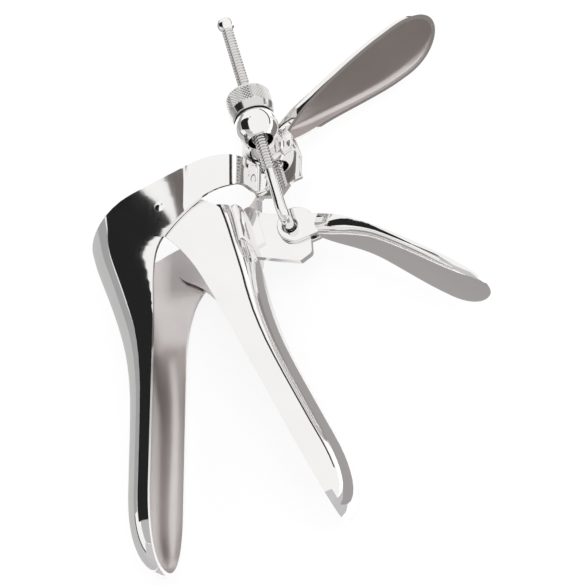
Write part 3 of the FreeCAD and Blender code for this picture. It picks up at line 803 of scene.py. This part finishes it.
@dataclass
class SpoonHandle:
    """A thumb handle: a spoon with turned-up sides and two tongues that grip a plate."""

    name: str
    node: str
    body: str
    side: int
    depth: float
    root: Matrix
    near_tongue: list[Point]
    far_tongue: list[Point]
    eye: Point | None = None
    half_width: float = 12.6
    root_depth: float = 5.2
    rim_root: float = 4.3
    sweep: float = 4.8
    sweep_start: float = 7.0
    root_length: float = 20.0
    length: float = 54.0
    nose: float = 13.0
    wall: float = 1.4
    rim_bevel: float = 0.45
    plate_half: float = 1.0
    eye_radius: float = 2.15
    tongue_bevel: float = 0.35

    def rim(self, station: float) -> float:
        """The rim's place beside the axis."""
        share = smooth_step((station - self.sweep_start) / (self.length - 10.0))
        return self.rim_root - self.sweep * share

    def width(self, station: float) -> float:
        """Half the width along the handle."""
        shares = ((-1, 2.4 / self.half_width), (6, 0.47), (14, 0.64), (24, 0.84), (34, 0.98), (41, 1.0))
        return self.half_width * curve_through(shares, station)

    def below(self, station: float) -> float:
        """Depth of the back under the rim."""
        share = smooth_step((self.root_length - station) / self.root_length)
        return self.depth + (self.root_depth - self.depth) * share

    def tongue(self, outline: list[Point], sign: int) -> bpy.types.Object:
        """A flat tongue on one face of the plate, with rounded edges.

        Args:
            outline: its corners, anticlockwise.
            sign: 1 for the near face, -1 for the far one.

        Returns:
            The tongue.
        """
        low, high = sorted((sign * self.plate_half, sign * (self.plate_half + self.wall)))
        piece = prism(outline, low, high, self.name + "_tongue")
        if self.eye is not None:
            cut(piece, self.bar(low - 1, high + 1))
        bevel(piece, self.tongue_bevel, 40)
        dress(piece, SHEET_FINISHES)
        return piece

    def bar(self, low: float, high: float) -> bpy.types.Object:
        """A round bar to drill the eye with, between two heights.

        Args:
            low: its lower end.
            high: its upper end.

        Returns:
            The bar.
        """
        deselect()
        spot = Vector((self.eye[0], self.eye[1], (low + high) / 2)) * MM
        bpy.ops.mesh.primitive_cylinder_add(
            vertices=48, radius=self.eye_radius * MM, depth=(high - low) * MM, location=spot
        )
        bpy.ops.object.transform_apply(location=True)
        return bpy.context.object

    def build(self) -> None:
        """Makes the handle and mounts it."""
        sheet = FormedSheet(
            name=self.name,
            wall=self.wall,
            stations=[-1, 0.5, 2, 4, 6, 8, 10, 12.5, 15, 17.5, *range(20, 42, 3)],
            nose_length=self.nose,
            width_at=self.width,
            flat_at=lambda s: 0.0,
            depth_at=self.below,
            rim_at=self.rim,
            side=self.side,
            power=3.0,
            outline=[],
            rim_bevel=self.rim_bevel,
        )
        piece = sheet.build()
        activate(self.tongue(self.near_tongue, 1), self.tongue(self.far_tongue, -1), piece)
        bpy.ops.object.join()
        piece.matrix_world = self.root
        finish_piece(piece, self.name, SHEET_FINISHES, self.body, (self.node,))


def handles() -> list[SpoonHandle]:
    """The two thumb handles, each at its root.

    Returns:
        The upper one, on the screw plate, and the lower one, on the lever plate.
    """
    # The lower tongues end in a round eye for the screw's foot.
    tip = arc(5.4, (-5.9, -0.7), 62, 307, 24) + [(1.5, -0.9), (1.5, 4.2)]
    lower_root = turned(OPENING) @ turned(math.radians(36.8), (21.5, 33.9), 0.0)
    eye = (lower_root.inverted() @ turned(OPENING) @ (Vector((16.88, 28.22, 0)) * MM)) / MM
    return [
        SpoonHandle(
            name="upper_handle_spoon",
            node="upper_handle",
            body="left_body",
            side=1,
            depth=3.9,
            root=turned(math.radians(131.0), (-24.0, 34.5)),
            near_tongue=[
                (1.5, 3.2), (-1.8, 0.0), (-4.6, 0.5), (-3.6, 3.6), (-2.0, 6.4), (0.0, 8.8), (1.5, 9.2),
            ],
            far_tongue=[
                (1.5, 9.0), (1.5, 3.0), (-0.8, -2.5), (-4.0, -5.8), (-5.2, -7.7), (-8.9, -6.1),
                (-8.9, 0.9), (-6.5, 2.4), (-3.0, 5.0), (-1.5, 8.5),
            ],
        ),
        SpoonHandle(
            name="lower_handle_spoon",
            node="lower_handle",
            body="right_body",
            side=-1,
            depth=3.0,
            root=lower_root,
            near_tongue=tip,
            far_tongue=tip,
            eye=(eye.x, eye.y),
        ),
    ]


@dataclass
class TurnedPart:
    """A piece made on the lathe: rings of a profile about Z, in millimetres."""

    name: str
    sides: int = 48

    def start(self, radius: float, height: float) -> bpy.types.Object:
        """Makes the first ring and leaves it in edit mode, all of it selected.

        Args:
            radius: its radius.
            height: its height.

        Returns:
            The piece.
        """
        deselect()
        spot = (0, 0, height * MM)
        bpy.ops.mesh.primitive_circle_add(vertices=self.sides, radius=radius * MM, location=spot)
        bpy.ops.object.transform_apply(location=True)
        piece = bpy.context.object
        piece.name = self.name
        enter(piece)
        bpy.ops.mesh.select_mode(type="EDGE")
        bpy.ops.mesh.select_all(action="SELECT")
        return piece

    def draw(self, profile: Sequence[Point]) -> None:
        """Extrudes the selected ring along a profile.

        Args:
            profile: radius and height of each ring, from the selected one on.
        """
        for (radius, height), (next_radius, next_height) in zip(profile, profile[1:]):
            rise = (0, 0, (next_height - height) * MM)
            bpy.ops.mesh.extrude_region_move(TRANSFORM_OT_translate={"value": rise})
            share = next_radius / radius
            bpy.ops.transform.resize(value=(share, share, 1), center_override=(0, 0, next_height * MM))

    def close(self) -> None:
        """Merges rings that meet, caps open ends and turns the faces outwards."""
        bpy.ops.mesh.select_all(action="SELECT")
        bpy.ops.mesh.remove_doubles(threshold=MERGE * MM)
        bpy.ops.mesh.fill_holes(sides=0)
        face_outwards()
        leave()

    def turn(self, profile: Sequence[Point]) -> bpy.types.Object:
        """Makes a plain turned piece.

        Args:
            profile: radius and height of all its rings.

        Returns:
            The piece.
        """
        piece = self.start(*profile[0])
        self.draw(profile)
        self.close()
        return piece


def arc(radius: float, centre: Point, start: float, end: float, steps: int) -> list[Point]:
    """Points on an arc.

    Args:
        radius: its radius.
        centre: its centre.
        start: the angle of its first point, in degrees.
        end: the angle of its last point.
        steps: how many pieces it is divided into.

    Returns:
        The points.
    """
    line = []
    for step in range(steps + 1):
        turn = math.radians(start + (end - start) * step / steps)
        line.append((centre[0] + radius * math.cos(turn), centre[1] + radius * math.sin(turn)))
    return line


def drive_frame(place: Point) -> Matrix:
    """A frame of the screw drive: X along the screw, Z away from the plates."""
    return turned(DRIVE_ANGLE, place, MID_HEIGHT + DRIVE_LIFT)


# Turns a piece made about Z so that it lies along X.
ALONG_SCREW = Matrix.Rotation(math.radians(90), 4, "Y")


@dataclass
class AdjustingScrew:
    """The screw that draws the plates together: a hooked rod, its thread and the ball at its end."""

    eye: Point = (2.4003, 32.7954)
    core: float = 1.6
    bend: float = 4.0
    foot: float = -12.3
    plain: float = 15.2
    length: float = 66.5
    pitch: float = 1.0
    crest: float = 1.8
    root: float = 1.42
    fullness: float = 0.8
    chamfer: float = 0.3
    ball: float = 2.8
    ball_place: float = 67.8

    def hook(self) -> bpy.types.Object:
        """The plain rod: up from the washer, round the bend and along.

        Returns:
            The rod, with its upright leg on Z.
        """
        part = TurnedPart("hook", 32)
        end = self.core - self.chamfer
        piece = part.start(end, self.foot)
        part.draw([(end, self.foot), (self.core, self.foot + self.chamfer), (self.core, -self.bend)])
        centre = (self.bend * MM, 0, -self.bend * MM)
        bpy.ops.mesh.spin(steps=14, angle=math.radians(-90), center=centre, axis=(0, 1, 0))
        along = ((self.plain - self.bend) * MM, 0, 0)
        bpy.ops.mesh.extrude_region_move(TRANSFORM_OT_translate={"value": along})
        part.close()
        return piece

    def thread(self) -> bpy.types.Object:
        """The thread: one pitch of its profile, screwed along the rod and cut square at both ends.

        Returns:
            The thread, about Z.
        """
        steps = 8
        deselect()
        bpy.ops.mesh.primitive_grid_add(x_subdivisions=steps, y_subdivisions=1, size=2.0)
        piece = bpy.context.object
        enter(piece)
        choose(piece, "VERT", lambda vert: vert.co.y < 0)
        bpy.ops.mesh.delete(type="VERT")
        mesh = bmesh.from_edit_mesh(piece.data)
        order = [vert.index for vert in sorted(mesh.verts, key=lambda v: v.co.x)]
        places = []
        for number in range(len(order)):
            share = number / steps
            radius = self.root + (self.crest - self.root) * math.sin(math.pi * share) ** self.fullness
            places.append((radius, 0.0, self.plain + self.pitch * (share - 1)))
        place_vertices(piece, order, places)
        leave()
        turns = round((self.length - self.plain) / self.pitch) + 2
        settings = {
            "axis": "Z",
            "screw_offset": self.pitch * MM,
            "iterations": turns,
            "steps": 24,
            "render_steps": 24,
            "use_merge_vertices": True,
            "merge_threshold": MERGE / 2 * MM,
        }
        apply_modifier(piece, "SCREW", settings)
        enter(piece)
        bpy.ops.mesh.select_all(action="SELECT")
        bpy.ops.mesh.remove_doubles(threshold=MERGE / 2 * MM)
        for height, direction in ((self.plain, -1), (self.length, 1)):
            bpy.ops.mesh.select_all(action="SELECT")
            bpy.ops.mesh.bisect(
                plane_co=(0, 0, height * MM), plane_no=(0, 0, direction), use_fill=True, clear_outer=True
            )
        face_outwards()
        leave()
        return piece

    def build(self) -> None:
        """Makes the screw and its ball and mounts them."""
        place = drive_frame(self.eye)
        thread = self.thread()
        finishes = (MIRROR, THREADED)
        dress(thread, finishes)
        for face in thread.data.polygons:
            face.material_index = 1
        thread.matrix_world = ALONG_SCREW
        settle(thread)
        screw = self.hook()
        dress(screw, (MIRROR,))
        activate(thread, screw)
        bpy.ops.object.join()
        screw.matrix_world = place
        finish_piece(screw, "adjusting_screw_rod", finishes, "screw", ("adjusting_screw",), smooth_angle=60)
        ball = TurnedPart("stop_ball").turn(arc(self.ball, (0, self.ball_place), -89.6, 89.6, 28))
        ball.matrix_world = place @ ALONG_SCREW
        finish_piece(ball, "screw_end_ball", (MIRROR,), "screw", ("screw_stop_ball",))


@dataclass
class SwivelBall:
    """The drilled ball that the screw passes through, on its stem."""

    place: Point = (-27.0, 25.0)
    radius: float = 6.25
    bore: float = 3.7
    stem: float = 2.5
    stem_head: float = 3.0
    stem_foot: float = -11.6

    def build(self) -> None:
        """Makes the ball and mounts it."""
        reach = math.degrees(math.acos((self.bore + 0.15) / self.radius))
        outside = arc(self.radius, (0, 0), -reach, reach, 40)
        lip = math.sqrt(self.radius ** 2 - self.bore ** 2) - 0.2
        profile = outside + [(self.bore, lip), (self.bore, 0.0), (self.bore, -lip), outside[0]]
        ball = TurnedPart("ball", 72).turn(profile)
        ball.matrix_world = ALONG_SCREW
        settle(ball)
        head, foot, stem = self.stem_head, self.stem_foot, self.stem
        profile = [(head - 0.2, foot), (head, foot + 0.2), (head, foot + 0.5), (head - 0.2, foot + 0.7)]
        profile += [(stem, foot + 0.7), (stem, -self.radius - 0.4), (stem + 0.4, -self.radius + 0.5)]
        neck = TurnedPart("stem").turn(profile + [(stem + 0.4, -self.bore - 0.9)])
        activate(neck, ball)
        bpy.ops.object.join()
        ball.matrix_world = drive_frame(self.place)
        finish_piece(ball, "drilled_swivel_ball", (MIRROR,), "swivel", ("swivel_ball",))


@dataclass
class FlushRivet:
    """A rivet whose two heads are ground almost flush and stand up as low domes."""

    name: str
    node: str
    place: Point
    radius: float
    low: float
    high: float
    dome: float = 0.18

    def build(self) -> None:
        """Makes the rivet and mounts it."""
        radius, dome = self.radius, self.dome
        head = [(0.02, dome), (radius * 0.6, 0.8 * dome), (radius - 0.05, 0.04), (radius, -0.03)]
        profile = [(wide, self.low - rise) for wide, rise in head]
        profile += [(wide, self.high + rise) for wide, rise in reversed(head)]
        piece = TurnedPart(self.name, 40).turn(profile)
        piece.matrix_world = turned(0.0, self.place)
        finish_piece(piece, self.name, (MIRROR,), "left_body", (self.node,), smooth_angle=50)


def rivets() -> list[FlushRivet]:
    """The rivets whose heads are polished flush.

    Returns:
        The two of the pivot and the one of the strap.
    """
    pivot = {"place": (0.0, 0.0), "radius": 1.65}
    return [
        FlushRivet("near_pivot_pin", "near_pivot_rivet", low=16.4, high=19.0, **pivot),
        FlushRivet("far_pivot_pin", "far_pivot_rivet", low=-19.0, high=-16.4, **pivot),
        FlushRivet("strap_pin", "strap_rivet", place=(-15.2, 24.6), radius=1.6, low=-2.2, high=2.2),
    ]


@dataclass
class KnurledNut:
    """The thumb nut: a smooth tapered band, a diamond knurl, and a hollow seat for the ball."""

    place: Point = (-27.0, 25.0)
    radius: float = 6.5
    start: float = 3.6
    band: float = 2.4
    height: float = 7.9
    chamfer: float = 0.6
    bore: float = 1.9
    seat: float = 6.45
    teeth: int = 44
    rows: int = 5
    tooth: float = 0.28

    def level(self, line: bmesh.types.BMEdge) -> float:
        """The height of an edge's middle."""
        return (line.verts[0].co.z + line.verts[1].co.z) / 2 / MM

    def knurl(self, piece: bpy.types.Object) -> None:
        """Turns the grip's grid into a lattice of lozenges and raises each to a small pyramid.

        Args:
            piece: the grip in edit mode.
        """
        lines = len(bmesh.from_edit_mesh(piece.data).edges)
        bpy.ops.mesh.select_mode(type="FACE")
        face_outwards()
        bpy.ops.mesh.poke(offset=0.0)
        choose(piece, "EDGE", lambda edge: edge.index < lines and len(edge.link_faces) == 2)
        bpy.ops.mesh.dissolve_edges(use_verts=False)
        choose(piece, "FACE", lambda face: len(face.verts) == 4)
        bpy.ops.mesh.poke(offset=self.tooth * MM)

    def build(self) -> None:
        """Makes the nut and mounts it."""
        low = self.start + self.band
        high = self.start + self.height - self.chamfer
        end = self.start + self.height
        base = self.radius - self.tooth
        part = TurnedPart("nut", self.teeth)
        piece = part.start(base, low)
        part.draw([(base, low + (high - low) * row / self.rows) for row in range(self.rows + 1)])
        self.knurl(piece)
        edge = self.radius - self.chamfer
        choose(piece, "EDGE", lambda line: self.level(line) > high - MERGE / 2)
        part.draw([(base, high), (edge, end), (self.bore + 0.3, end), (self.bore, end - 0.3)])
        choose(piece, "EDGE", lambda line: self.level(line) < low + MERGE / 2)
        rim = math.degrees(math.asin((self.start + 0.2) / self.seat))
        inner = math.degrees(math.acos(self.bore / self.seat))
        profile = [
            (base, low),
            (self.radius, low - 0.15),
            (self.radius - 0.04, low - 0.35),
            (edge + 0.1, self.start + 0.2),
            (edge - 0.1, self.start),
            (edge - 0.4, self.start),
        ]
        profile += arc(self.seat, (0, 0), rim, inner, 10)
        profile.append((self.bore, end - 0.3))
        part.draw(profile)
        part.close()
        piece.matrix_world = drive_frame(self.place) @ ALONG_SCREW
        finish_piece(piece, "diamond_knurled_nut", (KNURLED,), "nut", ("knurled_nut",), smooth_angle=25)


def main() -> None:
    """Builds the instrument's pieces in order, then the studio."""
    logging.basicConfig(level=logging.INFO, format="%(message)s")
    dress_solids()
    MouthRingValve().build()
    NestedValve().build()
    for part in handles() + rivets():
        part.build()
    AdjustingScrew().build()
    SwivelBall().build()
    KnurledNut().build()
    Studio().build()


def dress_solids() -> None:
    """Gives every solid its steel."""
    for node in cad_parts.values():
        node.data.materials.clear()
        dress(node, (MIRROR,))


@dataclass
class Studio:
    """Floor, cards, lamp and camera.

    Places are in millimetres from the pivot axis. Cards and the lamp count their height from the
    floor, flags and the camera from mid-height. Right, up and back are the camera's own axes.
    """

    right: tuple[float, float, float] = (0.00332593, 0.96316249, -0.26889953)
    up: tuple[float, float, float] = (-0.89600999, 0.1222688, 0.42686817)
    back: tuple[float, float, float] = (0.44402143, 0.23951693, 0.86340987)
    distance: float = 600.0
    shift: Point = (-31.7676, 15.8542)
    sensor: float = 36.0
    lens_pixels: float = 2104.78
    picture: float = 585.0
    floor_glow: float = 0.85

    def camera(self) -> None:
        """Sets the camera where the photograph was taken from."""
        right, up, back = Vector(self.right), Vector(self.up), Vector(self.back)
        place = right * -self.shift[0] + up * -self.shift[1] + back * self.distance
        turn = Matrix((right, up, back)).transposed()
        data = bpy.data.cameras.new("Camera")
        data.sensor_width = self.sensor
        data.lens = self.sensor * self.lens_pixels / self.picture
        data.clip_end = 20.0
        camera = bpy.data.objects.new("Camera", data)
        bpy.context.scene.collection.objects.link(camera)
        camera.matrix_world = Matrix.Translation((place + Vector((0, 0, MID_HEIGHT))) * MM) @ turn.to_4x4()
        bpy.context.scene.camera = camera

    def paper(self, card: bpy.types.Object, name: str, shade: str) -> None:
        """Makes a card shine evenly in the metal, unseen by the camera and without a shadow.

        Args:
            card: the card.
            name: its name.
            shade: its colour.
        """
        card.name = name
        paper = blank_material(name + " paper")
        tree = paper.node_tree
        glow = add_node(tree, "ShaderNodeEmission", {"Color": linear(shade), "Strength": 1.0}, {})
        add_node(tree, "ShaderNodeOutputMaterial", {}, {"Surface": (glow, "Emission")})
        card.data.materials.append(paper)
        card.visible_shadow = False
        card.visible_diffuse = False
        card.visible_camera = False

    def flag(self, name: str, outline: Sequence[Point], height: float, shade: str) -> None:
        """A level card of any outline.

        Args:
            name: its name.
            outline: its corners, anticlockwise, in millimetres.
            height: how far it lies above mid-height.
            shade: its colour.
        """
        card = prism(outline, height, height + 1.0, name)
        card.matrix_world = turned(0.0)
        self.paper(card, name, shade)

    def card(self, name: str, centre: Sequence[float], size: Sequence[float], shade: str) -> None:
        """An upright card that faces the instrument.

        Args:
            name: its name.
            centre: where it stands, in millimetres.
            size: width and height in millimetres.
            shade: its colour.
        """
        deselect()
        bpy.ops.mesh.primitive_plane_add(size=1.0)
        card = bpy.context.object
        turn = Vector(centre).normalized().to_track_quat("Z", "Y").to_matrix().to_4x4()
        spread = Matrix.Diagonal((size[0] * MM, size[1] * MM, 1, 1))
        card.matrix_world = Matrix.Translation(Vector(centre) * MM) @ turn @ spread
        self.paper(card, name, shade)

    def floor(self) -> None:
        """The pale floor, which shows white to the camera."""
        deselect()
        bpy.ops.mesh.primitive_plane_add(size=6.0, location=(0, 0, -0.0004))
        floor = bpy.context.object
        floor.name = "Floor"
        paper = blank_material("white paper")
        tree = paper.node_tree
        path = add_node(tree, "ShaderNodeLightPath", {}, {})
        matt = add_node(tree, "ShaderNodeBsdfDiffuse", {"Color": linear("#f4f4f4")}, {})
        glow = add_node(tree, "ShaderNodeEmission", {"Color": (1, 1, 1, 1), "Strength": 1.0}, {})
        # The camera sees mostly the even glow, the metal sees only the matt paper.
        seen = add_node(tree, "ShaderNodeMath", {"operation": "MULTIPLY"}, {})
        seen.inputs[1].default_value = self.floor_glow
        tree.links.new(path.outputs["Is Camera Ray"], seen.inputs[0])
        mixed = add_node(tree, "ShaderNodeMixShader", {}, {"Fac": (seen, "Value")})
        tree.links.new(matt.outputs["BSDF"], mixed.inputs[1])
        tree.links.new(glow.outputs["Emission"], mixed.inputs[2])
        add_node(tree, "ShaderNodeOutputMaterial", {}, {"Surface": (mixed, "Shader")})
        floor.data.materials.append(paper)

    def world(self) -> None:
        """An even white room."""
        scene = bpy.context.scene
        scene.world = bpy.data.worlds.new("Room")
        scene.world.use_nodes = True
        tree = scene.world.node_tree
        tree.nodes.clear()
        glow = add_node(tree, "ShaderNodeBackground", {"Color": (1, 1, 1, 1), "Strength": 1.0}, {})
        add_node(tree, "ShaderNodeOutputWorld", {}, {"Surface": (glow, "Background")})

    def lamp(self, name: str, place: Sequence[float], size: float, power: float) -> None:
        """A large soft lamp that shines on the instrument and isn't seen in the metal.

        Args:
            name: its name.
            place: where it hangs.
            size: the side of its square.
            power: its power in watts.
        """
        data = bpy.data.lights.new(name, "AREA")
        data.size = size * MM
        data.energy = power
        lamp = bpy.data.objects.new(name, data)
        lamp.visible_glossy = False
        bpy.context.scene.collection.objects.link(lamp)
        lamp.location = Vector(place) * MM
        lamp.rotation_euler = Vector(place).to_track_quat("Z", "Y").to_euler()

    def cards(self) -> None:
        """The dark and grey cards whose reflections shape the polished steel."""
        # The black flag is seen in the flat near side of the left valve, up to the pivot rivet.
        black = [(-119.5, -73.5), (-163, -112), (-178, -180), (-260, -450), (-260, -640), (140, -640)]
        black += [(140, -88), (13, -80), (-10, -82), (-35, -81), (-81, -77.5), (-103, -76), (-111, -75)]
        self.flag("Black flag", black, CEILING, "#262627")
        brown = [(-145, -78), (-147, -68.5), (-137, -61), (-126, -61), (-118, -70)]
        self.flag("Brown flag", brown, CEILING, "#6f6866")
        # The plate flag darkens part of the screw plate.
        plate = [(-150, -56), (-144, -50), (-141, -54), (-141, -40), (-145, -28), (-167, -28), (-167, -54)]
        self.flag("Plate flag", plate, CEILING, "#6b6663")
        # The pale flag beyond the tips keeps them a little darker than the room.
        self.flag("Tip flag", [(140, -380), (418, -380), (418, -50), (140, -66)], CEILING, "#bcbcbc")
        # Grey boards and strips stand around the instrument and darken the steel where it turns away.
        self.card("Left board", (-150, -330, 60), (420, 180), "#a8a8a9")
        self.card("Left strip", (60, -420, 10), (700, 70), "#4a4848")
        # A white sheet over the lower handle keeps the black flag out of it.
        self.flag("Handle shield", [(-38, 1), (30, 1), (30, 50), (-38, 50)], 60.0, "#ffffff")
        self.card("Front board", (420, 20, 110), (860, 260), "#cfcdcf")
        self.card("Right strip", (-250, 260, 55), (500, 40), "#3a3838")
        # Grey sheets on the floor are seen in what faces down and sideways. They are painted shade: they
        # stand in for the floor's shade under the instrument as the steel mirrors it.
        self.flag("Right floor shade", [(-20, 12), (125, 82), (95, 150), (5, 105)], FLOOR_SHEET, "#a6a3a3")
        tip = [(104, -17), (131, -17), (201, -400), (418, -400), (418, 420), (97, 152), (127, 82)]
        self.flag("Tip floor shade", tip + [(94, 66)], FLOOR_SHEET, "#cbc9cb")
        self.flag("Handle floor shade", [(-75, 45), (-5, 45), (0, 125), (-75, 125)], FLOOR_SHEET, "#8a8581")
        self.flag("Left floor shade", [(-300, -400), (200, -400), (130, -18), (-30, -25)], FLOOR_SHEET, "#c4c4c4")

    def build(self) -> None:
        """Sets up the whole studio."""
        bpy.context.scene.view_settings.view_transform = "Standard"
        self.floor()
        self.world()
        self.lamp("Softbox", (200, 300, 900), 500, 4.0)
        self.cards()
        self.camera()


if __name__ == "__main__":
    main()
